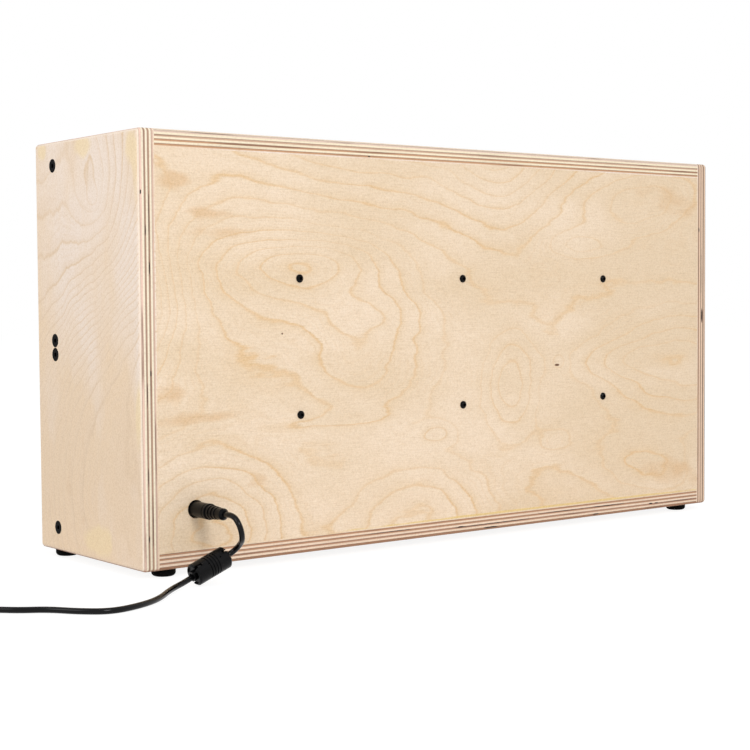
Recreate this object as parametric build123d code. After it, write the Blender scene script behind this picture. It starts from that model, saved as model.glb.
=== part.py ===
from build123d import *
from math import cos, degrees, pi, sin, tan
import os

# Eurorack modular synthesizer case, two 3U rows, standing on its long side, with its
# DC lead plugged in at the back. Millimetres, +Z up, +X along the rows, -Y the open
# front, origin on the floor under the middle of the case.

# ---------------------------------------------------------------- case sizes
hp = 5.08                    # one horizontal pitch of the module grid
row_hp = 104                 # pitches in a row
row_play = 0.7               # side play left in a full row
row_unit = 133.35            # height of one 3U row
rows = ("lower", "upper")
board = 12.0                 # plywood thickness
case_depth = 150.0
edge_radius = 3.0            # rounding of all outer edges
fit = 0.05                   # radial clearance of pins, dowels and screws in their holes
pilot_end_gap = 0.5          # depth of a wood screw's hole past its tip

inner_width = row_hp * hp + row_play
inner_height = len(rows) * row_unit
case_width = inner_width + 2 * board
case_height = inner_height + 2 * board
inner_x = inner_width / 2
outer_x = case_width / 2
front_y = -case_depth / 2
back_y = case_depth / 2
back_inner_y = back_y - board

# ---------------------------------------------------------------- feet
foot_height = 5.2
foot_radius = 8.2
foot_rounding = 2.6
foot_web = 2.2               # rubber between the washer and the case
foot_recess_radius = 4.4
foot_insets = (              # side of X, side of Y, inset from the side, inset from the face
    (1, 1, 21.5, 11.5),
    (-1, 1, 22.0, 15.0),
    (1, -1, 12.0, 18.0),
    (-1, -1, 15.0, 15.0),
)
washer_radius = 4.2
washer_thickness = 0.8
foot_screw_radius = 1.7
foot_screw_head_radius = 3.3
foot_screw_head = 1.5
foot_screw_length = 12.0

case_bottom = foot_height
case_middle = case_bottom + case_height / 2
case_top = case_bottom + case_height
inner_bottom = case_bottom + board
inner_top = case_top - board

# ---------------------------------------------------------------- dowels
dowel_radius = 3.0
dowel_length = 24.0
dowel_in_face = 7.5          # part of a dowel that sits in a board's face
dowel_end_gap = 0.5          # glue room at each end
corner_dowel_y = 45.0        # each side of the middle of a corner joint
back_dowel_z = 80.0          # each side of the middle of the back panel

# ---------------------------------------------------------------- rails
rail_depth_in_case = 28.0    # screw axis behind the front edge
rail_axis_offset = 4.95      # screw axis from the edge of its row
rail_half_height = 4.8
rail_front = 7.6             # axis to the face that modules sit on
rail_back = 8.4
rail_core_radius = 2.2
rail_tapped_radius = 2.5
rail_tapped_depth = 16.0
lip_height = 2.0
lip_reach = 3.0
module_hole_pitch = 122.5    # between the two screw lines of a module
strip_width = 6.2
strip_thickness = 2.2
strip_play = 0.15            # on each side of the strip in its channel
front_wall = 1.4
front_slot = 1.7             # half width
rear_wall = 1.2
rear_slot = 1.8              # half width
rear_channel = 3.3           # half width
rear_channel_depth = 3.0

strip_offset = module_hole_pitch / 2 - (row_unit / 2 - rail_axis_offset)

# ---------------------------------------------------------------- rail screws, M5 x 25
rail_screw_radius = 2.45
rail_screw_head_radius = 4.8
rail_screw_length = 25.0
rail_screw_socket = 3.0      # across the flats
rail_screw_socket_depth = 2.0

# ---------------------------------------------------------------- power board
board_width = 312.0
board_height = 105.2
board_thickness = 1.6
standoff_length = 10.0
standoff_flats = 5.5
m3_bore_radius = 1.5
m3_radius = 1.45
back_screw_length = 16.0
back_screw_head_radius = 2.85
back_screw_head = 1.65
back_screw_socket = 2.0
front_screw_length = 5.0
front_screw_head_radius = 2.75
screw_columns = (-150.0, 0.0, 150.0)
screw_row_z = 47.6           # each side of the middle of the case

header_length = 28.0
header_width = 8.9
header_height = 9.0
header_wall = 1.2
header_floor = 2.2
header_key_width = 4.5
header_columns = 4
header_pitch = 48.0
header_first_x = -126.0
header_row_z = 30.0
pin_size = 0.64
pin_pitch = 2.54
pin_pairs = 8
pin_height = 5.6

converter_size = (25.4, 10.2, 50.8)
converter_x = (66.0, 100.0)
capacitor_radius = 5.0
capacitor_height = 12.0
capacitor_x = 124.0
capacitor_z = (-36.0, -18.0, 0.0, 18.0)
terminal_size = (8.2, 10.0, 10.4)
terminal_x = 146.0
terminal_z = -20.0
terminal_hole_radius = 1.6
fuse_radius = 2.6
fuse_length = 20.0
fuse_x = 142.0
fuse_z = 14.0
led_size = (1.6, 1.2, 3.2)
led_z = (27.0, 32.0, 37.0)

board_front_y = back_inner_y - standoff_length - board_thickness
board_back_y = back_inner_y - standoff_length

# ---------------------------------------------------------------- power inlet
jack_from_side = 40.36       # jack axis from the outside of the case's side
jack_from_bottom = 38.87     # jack axis above the case's bottom
panel_hole_radius = 6.25
plate_width = 34.0
plate_height = 22.0
plate_thickness = 1.5
plate_screw_x = 13.0
plate_screw_radius = 1.4
plate_screw_head_radius = 2.8
plate_screw_head = 1.6
plate_screw_length = 8.5
bush_radius = 4.0
bush_recess = 5.0            # end of the bush below the outside of the panel
nut_flats = 10.0
nut_thickness = 2.0
jack_body_radius = 5.5
jack_body_length = 13.0
jack_bore_radius = 2.8
jack_bore_depth = 10.0
jack_pin_radius = 1.0
jack_pin_length = 8.5
tab_width = 2.4
tab_thickness = 0.6
tab_length = 5.5
tab_spread = 3.2

jack_x = outer_x - jack_from_side
jack_z = case_bottom + jack_from_bottom
plate_inner_y = back_inner_y - plate_thickness
bush_end_y = back_y - bush_recess

# ---------------------------------------------------------------- plug
plug_gap = 0.3               # between the plug's shoulder and the jack's bush
barrel_radius = 2.75
barrel_wall = 0.7
barrel_tip_gap = 0.3
plug_bore_radius = 1.05
grip_radius = 5.25
ring_radius = 5.4
ridge_radii = (4.75, 4.5, 4.2)
ridge_start = 19.3           # of the first ridge, outside the panel
ridge_length = 2.1
ridge_pitch = 3.3
groove_radius = 3.5
tail_radius = 3.9
plug_length = 36.0           # from the outside of the panel to the end of the tail

plug_start_y = bush_end_y + plug_gap
plug_end_y = back_y + plug_length

# ---------------------------------------------------------------- lead
cable_radius = 1.9
lead_route = (               # from the plug's tail to the coil, chosen by hand
    (236.14, 111.0, 44.07),
    (236.14, 120.4, 44.07),
    (234.6, 126.6, 37.0),
    (231.0, 124.2, 28.8),
    (227.6, 115.8, 24.4),
    (230.9, 110.6, 18.4),
    (240.9, 111.14, 14.67),
    (254.2, 111.77, 9.68),
    (267.8, 112.5, 4.6),
    (284.0, 121.5, 2.1),
    (305.0, 144.0, 1.9),
    (325.5, 155.5, 1.9),
    (346.5, 160.0, 1.9),
    (361.0, 148.0, 1.9),
    (372.5, 130.5, 1.9),
    (386.5, 122.0, 1.9),
    (396.0, 112.0, 1.9),
    (410.0, 98.0, 1.9),
    (423.0, 84.0, 1.9),
    (431.8, 66.0, 2.3),
    (431.8, 50.0, 2.7),
)
tail_route = (               # from the coil to the adapter
    (431.8, 50.0, 6.5),
    (431.8, 36.0, 6.5),
    (428.6, 22.0, 9.0),
    (424.0, 9.0, 12.0),
    (424.0, -3.0, 12.0),
)
route_share = 0.45           # share of the shorter run that an arc takes
coil_centre = (405.0, 50.0)
coil_radius = 23.0           # middle of the bundle
coil_across = 3              # turns side by side
coil_layers = 2
coil_chamfer = 1.3
tie_thickness = 0.8
tie_width = 8.0
tie_play = 0.6               # the bundle is curved inside a straight tie

# ---------------------------------------------------------------- ferrite
ferrite_start = 5.35         # from the corner of the route before it
ferrite_length = 27.0
ferrite_radius = 7.5
ferrite_chamfer = 1.1
ferrite_boss_radius = 3.5
ferrite_boss_length = 1.6
ferrite_end_recess = 1.0
ferrite_end_recess_radius = 6.0
ferrite_groove_depth = 0.5
ferrite_groove_width = 1.0
ferrite_groove_pitch = 2.2
ferrite_grooves = 4
ferrite_turn = 54.0          # split line above the housing's side, degrees
ferrite_slot_width = 2.2
ferrite_slot_depths = (4.2, 5.8)  # along the split at the plug's end and at the far end
ferrite_dimple_radius = 0.7
ferrite_dimple_depth = 0.9
ferrite_dimples = (7.4, 17.4)
ferrite_dimple_turn = -19.0  # from the split line, degrees
core_radius = 5.6
core_length = 20.0
core_play = 0.05
ferrite_bore_radius = 2.0

# ---------------------------------------------------------------- adapter
adapter_size = (50.0, 112.0, 32.0)
adapter_centre = (424.0, -76.0)
adapter_rounding = 4.0
adapter_lower_height = 16.0
inlet_width = 27.0
inlet_height = 19.4
inlet_corner = 4.0
inlet_depth = 17.0
inlet_wall = 1.4
inlet_floor = 2.0
inlet_pin_size = (2.0, 14.0, 4.0)
inlet_pin_spread = 7.0
inlet_earth_rise = 4.0
gland_base_radius = 5.0
gland_collar = 1.5
gland_neck_radius = 4.2
gland_tip_radius = 2.9
gland_seat = 4.0
gland_ribs = 4
gland_rib_pitch = 3.4
gland_rib_length = 2.2
gland_rib_depth = 0.7
led_radius = 1.5


# ---------------------------------------------------------------- helpers
def block(x0, x1, y0, y1, z0, z1):
    """Box between two corners."""
    return Pos((x0 + x1) / 2, (y0 + y1) / 2, (z0 + z1) / 2) * Box(abs(x1 - x0), abs(y1 - y0), abs(z1 - z0))


def rod_x(x0, x1, y, z, radius):
    return Pos((x0 + x1) / 2, y, z) * Rot(0, 90, 0) * Cylinder(radius, abs(x1 - x0))


def rod_y(y0, y1, x, z, radius):
    return Pos(x, (y0 + y1) / 2, z) * Rot(90, 0, 0) * Cylinder(radius, abs(y1 - y0))


def rod_z(z0, z1, x, y, radius):
    return Pos(x, y, (z0 + z1) / 2) * Cylinder(radius, abs(z1 - z0))


def turned(outline, origin, direction):
    """Solid turned from (radius, height) points about an axis."""
    face = make_face(Plane.XZ * Polyline(*outline, close=True))
    return Plane(origin=origin, z_dir=direction) * revolve(face, Axis.Z, 360)


def hexagon(flats, length, origin, direction):
    """Hexagonal bar that starts at origin and runs along direction."""
    section = RegularPolygon(flats / 2, 6, major_radius=False)
    return Plane(origin=origin, z_dir=direction) * extrude(section, length)


def group(solids):
    return Compound(children=list(solids))


def arc_radii(route):
    """Largest arcs that the runs of a route allow, one for each corner."""
    points = [Vector(*p) for p in route]
    radii = []
    for before, corner, after in zip(points, points[1:], points[2:]):
        run_in = corner - before
        run_out = after - corner
        half_turn = run_in.get_angle(run_out) * pi / 360
        radii.append(route_share * min(run_in.length, run_out.length) / tan(half_turn))
    return radii


def tube(route, name):
    """Round cable along straight runs joined by tangent arcs."""
    radii = arc_radii(route)
    path = FilletPolyline(*route, radius=radii)
    start = Plane(origin=path @ 0, z_dir=path % 0)
    solid = sweep(start * Circle(cable_radius), path)
    section = pi * cable_radius**2
    print(name, "radii", [round(r, 1) for r in radii])
    print(name, "length", round(path.length, 1), "volume ratio", round(solid.volume / section / path.length, 4))
    return solid


# ---------------------------------------------------------------- case panels
def rounded_case():
    outer = block(-outer_x, outer_x, front_y, back_y, case_bottom, case_top)
    return fillet(outer.edges(), edge_radius)


def corner_dowel_places():
    """Side of X, Y and Z of each dowel between the side panels and the top or bottom."""
    for side in (1, -1):
        for z in (case_bottom + board / 2, case_top - board / 2):
            for y in (-corner_dowel_y, corner_dowel_y):
                yield side, y, z


def back_dowel_places():
    for side in (1, -1):
        for z in (case_middle - back_dowel_z, case_middle + back_dowel_z):
            yield side, (back_inner_y + back_y) / 2, z


def dowel(side, y, z, radial=0.0, end=0.0):
    """Dowel across a side panel's inner face, or its hole with clearances."""
    inner_end = inner_x - (dowel_length - dowel_in_face) - end
    outer_end = inner_x + dowel_in_face + end
    return rod_x(side * inner_end, side * outer_end, y, z, dowel_radius + radial)


def dowel_holes(places):
    return [dowel(side, y, z, fit, dowel_end_gap) for side, y, z in places]


def row_middle(row):
    return case_middle + (rows.index(row) - (len(rows) - 1) / 2) * row_unit


def rail_axes():
    """Name, Z of the screw axis and the way its lip points, for each rail."""
    for row in rows:
        for edge, way in (("bottom", -1), ("top", 1)):
            yield f"{row}_row_{edge}", row_middle(row) + way * (row_unit / 2 - rail_axis_offset), way


rail_axis_y = front_y + rail_depth_in_case


def rail_screw_outline(clearance, lead_in):
    """Countersunk screw, height measured inward from the side panel's face."""
    head = rail_screw_head_radius + clearance
    shank = rail_screw_radius + clearance
    head_height = rail_screw_head_radius - rail_screw_radius
    return [(0, -lead_in), (head, -lead_in), (head, 0.3), (shank, head_height + 0.3),
            (shank, rail_screw_length), (0, rail_screw_length)]


def foot_places():
    for side, face, from_side, from_face in foot_insets:
        yield side * (outer_x - from_side), face * (back_y - from_face)


foot_screw_start = foot_height - foot_web - washer_thickness


def foot_pilots():
    """Screw holes of the feet, in the underside of the finished case."""
    top = foot_screw_start + foot_screw_length + pilot_end_gap
    return [rod_z(case_bottom - 1, top, x, y, foot_screw_radius + fit) for x, y in foot_places()]


def side_panel(side):
    panel = rounded_case() & block(side * inner_x, side * outer_x, front_y, back_y, case_bottom, case_top)
    panel -= dowel_holes(p for p in corner_dowel_places() if p[0] == side)
    panel -= dowel_holes(p for p in back_dowel_places() if p[0] == side)
    for _, z, _ in rail_axes():
        panel -= turned(rail_screw_outline(fit, 1.0), (side * outer_x, rail_axis_y, z), (-side, 0, 0))
    return panel - foot_pilots()


def level_panel(z0, z1):
    """Top or bottom board, between the side panels."""
    panel = rounded_case() & block(-inner_x, inner_x, front_y, back_y, z0, z1)
    panel -= foot_pilots()
    return panel - dowel_holes(p for p in corner_dowel_places() if z0 < p[2] < z1)


def board_screw_places():
    for x in screw_columns:
        for z in (case_middle - screw_row_z, case_middle + screw_row_z):
            yield x, z


def back_panel():
    panel = block(-inner_x, inner_x, back_inner_y, back_y, inner_bottom, inner_top)
    panel -= dowel_holes(back_dowel_places())
    for x, z in board_screw_places():
        panel -= rod_y(back_inner_y - 1, back_y + 1, x, z, m3_radius + fit)
    panel -= rod_y(back_inner_y - 1, back_y + 1, jack_x, jack_z, panel_hole_radius)
    pilot_end = plate_inner_y + plate_screw_length + pilot_end_gap
    for side in (1, -1):
        panel -= rod_y(back_inner_y - 1, pilot_end, jack_x + side * plate_screw_x, jack_z, plate_screw_radius + fit)
    return panel


# ---------------------------------------------------------------- feet
def rubber_foot(x, y):
    foot = rod_z(0, foot_height, x, y, foot_radius)
    foot = fillet(foot.edges().group_by(Axis.Z)[0], foot_rounding)
    foot -= rod_z(-1, foot_height - foot_web, x, y, foot_recess_radius)
    return foot - rod_z(-1, foot_height + 1, x, y, foot_screw_radius + fit)


def foot_washer(x, y):
    top = foot_height - foot_web
    ring = rod_z(top - washer_thickness, top, x, y, washer_radius)
    return ring - rod_z(top - 2, top + 1, x, y, foot_screw_radius + fit)


def foot_screw(x, y):
    head = rod_z(foot_screw_start - foot_screw_head, foot_screw_start, x, y, foot_screw_head_radius)
    return head + rod_z(foot_screw_start, foot_screw_start + foot_screw_length, x, y, foot_screw_radius)


# ---------------------------------------------------------------- rails
def rail_point(z, way, u, v):
    """Point of a rail's section: u toward the front, v toward the edge of the row."""
    return rail_axis_y - u, z + way * v


def rail(z, way):
    """Lipped extrusion with a channel for its threaded strip and a screw channel behind."""
    half = rail_half_height
    wall_in = rail_front - front_wall
    channel_in = wall_in - strip_thickness - 2 * strip_play
    channel = strip_width / 2 + strip_play
    rear_in = rail_back - rear_wall
    rear_end = rear_in - rear_channel_depth
    outline = [
        (rail_front, -half),
        (rail_front, strip_offset - front_slot),
        (wall_in, strip_offset - front_slot),
        (wall_in, strip_offset - channel),
        (channel_in, strip_offset - channel),
        (channel_in, strip_offset + channel),
        (wall_in, strip_offset + channel),
        (wall_in, strip_offset + front_slot),
        (rail_front, strip_offset + front_slot),
        (rail_front, half - lip_height),
        (rail_front + lip_reach, half - lip_height),
        (rail_front + lip_reach, half),
        (-rail_back, half),
        (-rail_back, rear_slot),
        (-rear_in, rear_slot),
        (-rear_in, rear_channel),
        (-rear_end, rear_channel),
        (-rear_end, -rear_channel),
        (-rear_in, -rear_channel),
        (-rear_in, -rear_slot),
        (-rail_back, -rear_slot),
        (-rail_back, -half),
    ]
    section = make_face(Plane.YZ * Polyline(*[rail_point(z, way, u, v) for u, v in outline], close=True))
    bar = extrude(section, inner_x, both=True, dir=(1, 0, 0))
    bar -= rod_x(-inner_x - 1, inner_x + 1, rail_axis_y, z, rail_core_radius)
    for side in (1, -1):
        tapped_end = side * (inner_x - rail_tapped_depth)
        bar -= rod_x(tapped_end, side * (inner_x + 1), rail_axis_y, z, rail_tapped_radius)
    return bar


def thread_strip(z, way):
    """Steel strip that slides in the rail's channel and takes the module screws."""
    front = rail_front - front_wall - strip_play
    y0, z0 = rail_point(z, way, front, strip_offset - strip_width / 2)
    y1, z1 = rail_point(z, way, front - strip_thickness, strip_offset + strip_width / 2)
    return block(-inner_x + strip_play, inner_x - strip_play, y0, y1, z0, z1)


def rail_screw(side, z):
    screw = turned(rail_screw_outline(0.0, 0.0), (side * outer_x, rail_axis_y, z), (-side, 0, 0))
    return screw - hexagon(rail_screw_socket, rail_screw_socket_depth, (side * outer_x, rail_axis_y, z), (-side, 0, 0))


# ---------------------------------------------------------------- power board
def power_board():
    sheet = block(-board_width / 2, board_width / 2, board_front_y, board_back_y,
                  case_middle - board_height / 2, case_middle + board_height / 2)
    for x, z in board_screw_places():
        sheet -= rod_y(board_front_y - 1, board_back_y + 1, x, z, m3_radius + fit)
    return sheet


def standoff(x, z):
    post = hexagon(standoff_flats, standoff_length, (x, board_back_y, z), (0, 1, 0))
    return post - rod_y(board_back_y - 1, back_inner_y + 1, x, z, m3_bore_radius)


def back_screw(x, z):
    """Button head screw from the back, through the panel into its standoff."""
    outline = [(0, back_screw_head), (1.7, back_screw_head), (back_screw_head_radius, back_screw_head * 0.4),
               (back_screw_head_radius, 0), (m3_radius, 0), (m3_radius, -back_screw_length), (0, -back_screw_length)]
    screw = turned(outline, (x, back_y, z), (0, 1, 0))
    return screw - hexagon(back_screw_socket, 1.2, (x, back_y + back_screw_head, z), (0, -1, 0))


def front_screw(x, z):
    """Pan head screw that holds the power board on its standoff."""
    outline = [(0, 1.8), (front_screw_head_radius - 0.6, 1.8), (front_screw_head_radius, 1.0),
               (front_screw_head_radius, 0), (m3_radius, 0), (m3_radius, -front_screw_length), (0, -front_screw_length)]
    return turned(outline, (x, board_front_y, z), (0, -1, 0))


def header_places():
    for column in range(header_columns):
        for z in (case_middle - header_row_z, case_middle + header_row_z):
            yield header_first_x + column * header_pitch, z


def bus_header(x, z):
    """Shrouded 16-pin header with its key notch."""
    top = board_front_y - header_height
    floor = board_front_y - header_floor
    shroud = block(x - header_length / 2, x + header_length / 2, top, board_front_y,
                   z - header_width / 2, z + header_width / 2)
    shroud -= block(x - header_length / 2 + header_wall, x + header_length / 2 - header_wall, top - 1, floor,
                    z - header_width / 2 + header_wall, z + header_width / 2 - header_wall)
    return shroud - block(x - header_key_width / 2, x + header_key_width / 2, top - 1, floor,
                          z - header_width / 2 - 1, z)


def header_pins(x, z):
    floor = board_front_y - header_floor
    for number in range(pin_pairs):
        pin_x = x + (number - (pin_pairs - 1) / 2) * pin_pitch
        for side in (1, -1):
            pin_z = z + side * pin_pitch / 2
            yield block(pin_x - pin_size / 2, pin_x + pin_size / 2, floor - pin_height, floor,
                        pin_z - pin_size / 2, pin_z + pin_size / 2)


def on_board(x, z, size):
    """Block of a size in X, Y and Z that stands on the power board."""
    return block(x - size[0] / 2, x + size[0] / 2, board_front_y - size[1], board_front_y,
                 case_middle + z - size[2] / 2, case_middle + z + size[2] / 2)


def capacitor(z):
    can = rod_y(board_front_y - capacitor_height, board_front_y, capacitor_x, case_middle + z, capacitor_radius)
    return chamfer(can.edges().group_by(Axis.Y)[0], 0.8)


def input_terminal():
    body = on_board(terminal_x, terminal_z, terminal_size)
    body = chamfer(body.edges().filter_by(Axis.Z).group_by(Axis.Y)[0], 1.2)
    wire_y = board_front_y - terminal_size[1] * 0.45
    for side in (1, -1):
        z = case_middle + terminal_z + side * terminal_size[2] / 4
        body -= rod_x(terminal_x, terminal_x + terminal_size[0], wire_y, z, terminal_hole_radius)
        body -= rod_y(board_front_y - terminal_size[1] - 1, wire_y, terminal_x - 0.6, z, terminal_hole_radius)
    return body


def fuse_holder():
    """Two spring clips; the glass fuse lies in them."""
    for side in (1, -1):
        z = case_middle + fuse_z + side * (fuse_length / 2 - 2.5)
        clip = block(fuse_x - 3.4, fuse_x + 3.4, board_front_y - 6.5, board_front_y, z - 2, z + 2)
        clip -= rod_z(z - 3, z + 3, fuse_x, board_front_y - 4, fuse_radius + fit)
        yield clip - block(fuse_x - 2, fuse_x + 2, board_front_y - 7, board_front_y - 4, z - 3, z + 3)


def glass_fuse():
    z = case_middle + fuse_z
    return rod_z(z - fuse_length / 2, z + fuse_length / 2, fuse_x, board_front_y - 4, fuse_radius)


# ---------------------------------------------------------------- power inlet
def jack_plate():
    plate = block(jack_x - plate_width / 2, jack_x + plate_width / 2, plate_inner_y, back_inner_y,
                  jack_z - plate_height / 2, jack_z + plate_height / 2)
    plate -= rod_y(plate_inner_y - 1, back_inner_y + 1, jack_x, jack_z, bush_radius + fit)
    for side in (1, -1):
        x = jack_x + side * plate_screw_x
        plate -= rod_y(plate_inner_y - 1, back_inner_y + 1, x, jack_z, plate_screw_radius + fit)
    return plate


def plate_screw(side):
    outline = [(0, plate_screw_head), (plate_screw_head_radius * 0.6, plate_screw_head),
               (plate_screw_head_radius, plate_screw_head * 0.4), (plate_screw_head_radius, 0),
               (plate_screw_radius, 0), (plate_screw_radius, -plate_screw_length), (0, -plate_screw_length)]
    return turned(outline, (jack_x + side * plate_screw_x, plate_inner_y, jack_z), (0, -1, 0))


def jack_body():
    body = rod_y(plate_inner_y - jack_body_length, plate_inner_y, jack_x, jack_z, jack_body_radius)
    body += rod_y(plate_inner_y, bush_end_y, jack_x, jack_z, bush_radius)
    return body - rod_y(bush_end_y - jack_bore_depth, bush_end_y + 1, jack_x, jack_z, jack_bore_radius)


def jack_nut():
    nut = hexagon(nut_flats, nut_thickness, (jack_x, back_inner_y, jack_z), (0, 1, 0))
    return nut - rod_y(back_inner_y - 1, back_inner_y + nut_thickness + 1, jack_x, jack_z, bush_radius + fit)


def jack_pin():
    start = bush_end_y - jack_bore_depth
    return rod_y(start, start + jack_pin_length, jack_x, jack_z, jack_pin_radius)


def jack_tabs():
    rear = plate_inner_y - jack_body_length
    for side in (1, -1):
        x = jack_x + side * tab_spread
        tab = block(x - tab_thickness / 2, x + tab_thickness / 2, rear - tab_length, rear,
                    jack_z - tab_width / 2, jack_z + tab_width / 2)
        yield tab - rod_x(x - 1, x + 1, rear - tab_length + 1.6, jack_z, 0.6)


# ---------------------------------------------------------------- plug
def plug_body():
    """Overmould with a grip, a shouldered ring and a ridged tail."""
    n = back_y - plug_start_y
    outline = [
        (barrel_radius - barrel_wall, -n),
        (grip_radius - 0.5, -n),
        (grip_radius, -n + 0.5),
        (grip_radius, 14.6),
        (grip_radius - 0.7, 14.8),
        (grip_radius - 0.7, 15.4),
        (ring_radius, 15.7),
        (ring_radius, 17.9),
        (groove_radius, 18.3),
    ]
    for number, radius in enumerate(ridge_radii):
        low = ridge_start + number * ridge_pitch
        high = low + ridge_length
        outline += [(groove_radius, low - 0.2), (radius, low), (radius, high), (groove_radius, high + 0.2)]
    tail_start = ridge_start + len(ridge_radii) * ridge_pitch
    outline += [
        (groove_radius, tail_start - 0.2),
        (tail_radius, tail_start),
        (tail_radius, plug_length - 1.6),
        (cable_radius + 0.6, plug_length),
        (0, plug_length),
        (0, 0),
        (barrel_radius - barrel_wall, 0),
    ]
    return turned(outline, (jack_x, back_y, jack_z), (0, 1, 0))


def ring_y(y0, y1, outer, inner):
    return rod_y(y0, y1, jack_x, jack_z, outer) - rod_y(y0 - 1, y1 + 1, jack_x, jack_z, inner)


barrel_tip_y = bush_end_y - jack_bore_depth + barrel_tip_gap


def plug_barrel():
    return ring_y(barrel_tip_y, plug_start_y, barrel_radius, barrel_radius - barrel_wall)


def plug_insulator():
    sleeve = barrel_radius - barrel_wall
    return ring_y(barrel_tip_y + 0.3, plug_start_y + 1, sleeve, plug_bore_radius)


# ---------------------------------------------------------------- ferrite
corner = Vector(*lead_route[5])
ferrite_way = (Vector(*lead_route[8]) - corner).normalized()
ferrite_entry = corner + ferrite_way * ferrite_start
ferrite_side = Vector(0, 0, 1).cross(ferrite_way)
ferrite_frame = Plane(origin=ferrite_entry, x_dir=ferrite_side, z_dir=ferrite_way) * Rot(0, 0, ferrite_turn)


def ferrite_outline():
    """Outside of the housing along its axis: bosses, recessed ends, chamfers and grooves."""
    length = ferrite_length
    rim = ferrite_radius - ferrite_chamfer
    outline = [(0, -ferrite_boss_length), (ferrite_boss_radius, -ferrite_boss_length),
               (ferrite_boss_radius, ferrite_end_recess), (ferrite_end_recess_radius, ferrite_end_recess),
               (ferrite_end_recess_radius, 0), (rim, 0), (ferrite_radius, ferrite_chamfer)]
    first = length / 2 - (ferrite_grooves - 1) / 2 * ferrite_groove_pitch
    for number in range(ferrite_grooves):
        middle = first + number * ferrite_groove_pitch
        low = middle - ferrite_groove_width / 2
        high = middle + ferrite_groove_width / 2
        depth = ferrite_radius - ferrite_groove_depth
        outline += [(ferrite_radius, low), (depth, low + 0.2), (depth, high - 0.2), (ferrite_radius, high)]
    outline += [(ferrite_radius, length - ferrite_chamfer), (rim, length), (ferrite_end_recess_radius, length),
                (ferrite_end_recess_radius, length - ferrite_end_recess),
                (ferrite_boss_radius, length - ferrite_end_recess),
                (ferrite_boss_radius, length + ferrite_boss_length), (0, length + ferrite_boss_length)]
    return outline


def ferrite_slots():
    """Slots across both ends along the split, round the bosses."""
    boss = Cylinder(ferrite_boss_radius, 4 * ferrite_length)
    near, far = ferrite_slot_depths
    for middle, depth in ((near / 2, near), (ferrite_length - far / 2, far)):
        yield Pos(0, 0, middle) * Box(4 * ferrite_radius, ferrite_slot_width, depth) - boss


def ferrite_shell(side):
    """Half of the snap-on housing; the two halves meet along the cable."""
    face = make_face(Plane.XZ * Polyline(*ferrite_outline(), close=True))
    whole = revolve(face, Axis.Z, 360)
    middle = ferrite_length / 2
    whole -= Pos(0, 0, middle) * Cylinder(core_radius + core_play, core_length + 2 * core_play)
    whole -= Pos(0, 0, middle) * Cylinder(ferrite_bore_radius, 2 * ferrite_length)
    for slot in ferrite_slots():
        whole -= slot
    for height in ferrite_dimples:
        dimple = Rot(0, 90, 0) * Cylinder(ferrite_dimple_radius, 2 * ferrite_dimple_depth)
        whole -= Rot(0, 0, ferrite_dimple_turn) * Pos(ferrite_radius, 0, height) * dimple
    half = whole & Pos(0, side * ferrite_radius, middle) * Box(40, 2 * ferrite_radius, 2 * ferrite_length)
    return ferrite_frame * half


def ferrite_core():
    ring = Cylinder(core_radius, core_length) - Cylinder(ferrite_bore_radius + 0.4, core_length + 2)
    return ferrite_frame * (Pos(0, 0, ferrite_length / 2) * ring)


# ---------------------------------------------------------------- coil
coil_half_width = coil_across * cable_radius
coil_bottom = tie_thickness
coil_top = coil_bottom + coil_layers * 2 * cable_radius


def cable_coil():
    """Outer shape of the wound length as one ring."""
    inner = coil_radius - coil_half_width
    outer = coil_radius + coil_half_width
    cut = coil_chamfer
    outline = [(inner + cut, coil_bottom), (outer - cut, coil_bottom), (outer, coil_bottom + cut),
               (outer, coil_top - cut), (outer - cut, coil_top), (inner + cut, coil_top),
               (inner, coil_top - cut), (inner, coil_bottom + cut)]
    return turned(outline, (coil_centre[0], coil_centre[1], 0), (0, 0, 1))


def coil_tie():
    """Flat strap round the bundle on the side away from the adapter."""
    inner = coil_radius - coil_half_width - tie_play
    outer = coil_radius + coil_half_width
    x, y = coil_centre
    half = tie_width / 2
    strap = block(x - outer - tie_thickness, x - inner + tie_thickness, y - half, y + half,
                  coil_bottom - tie_thickness, coil_top + tie_thickness)
    return strap - block(x - outer, x - inner, y - half - 1, y + half + 1, coil_bottom, coil_top)


# ---------------------------------------------------------------- adapter
adapter_front_y = adapter_centre[1] + adapter_size[1] / 2
adapter_back_y = adapter_centre[1] - adapter_size[1] / 2
adapter_axis_z = 12.0
inlet_z = adapter_lower_height


def adapter_shell(z0, z1):
    """Half of the adapter's housing, from its bottom or top face to the parting line."""
    x, y = adapter_centre
    width, length, height = adapter_size
    whole = block(x - width / 2, x + width / 2, y - length / 2, y + length / 2, 0, height)
    whole = fillet(whole.edges().filter_by(Axis.Z), adapter_rounding)
    whole = chamfer(whole.edges().group_by(Axis.Z)[0] + whole.edges().group_by(Axis.Z)[-1], adapter_rounding * 0.4)
    half = whole & block(x - width, x + width, y - length, y + length, z0, z1)
    half -= inlet_prism(0.0, inlet_depth + inlet_floor)
    return half - rod_y(adapter_front_y - gland_seat, adapter_front_y + 1, adapter_centre[0], adapter_axis_z,
                        gland_base_radius)


def inlet_prism(inset, depth):
    """Six-sided mains inlet shape, sunk into the end of the adapter."""
    half = inlet_width / 2 - inset
    low = inlet_z - inlet_height / 2 + inset
    high = inlet_z + inlet_height / 2 - inset
    x = adapter_centre[0]
    outline = [(x - half, low), (x + half, low), (x + half, high - inlet_corner), (x + half - inlet_corner, high),
               (x - half + inlet_corner, high), (x - half, high - inlet_corner)]
    face = make_face(Polyline(*[(px, adapter_back_y, pz) for px, pz in outline], close=True))
    return extrude(face, depth, dir=(0, 1, 0))


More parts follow.
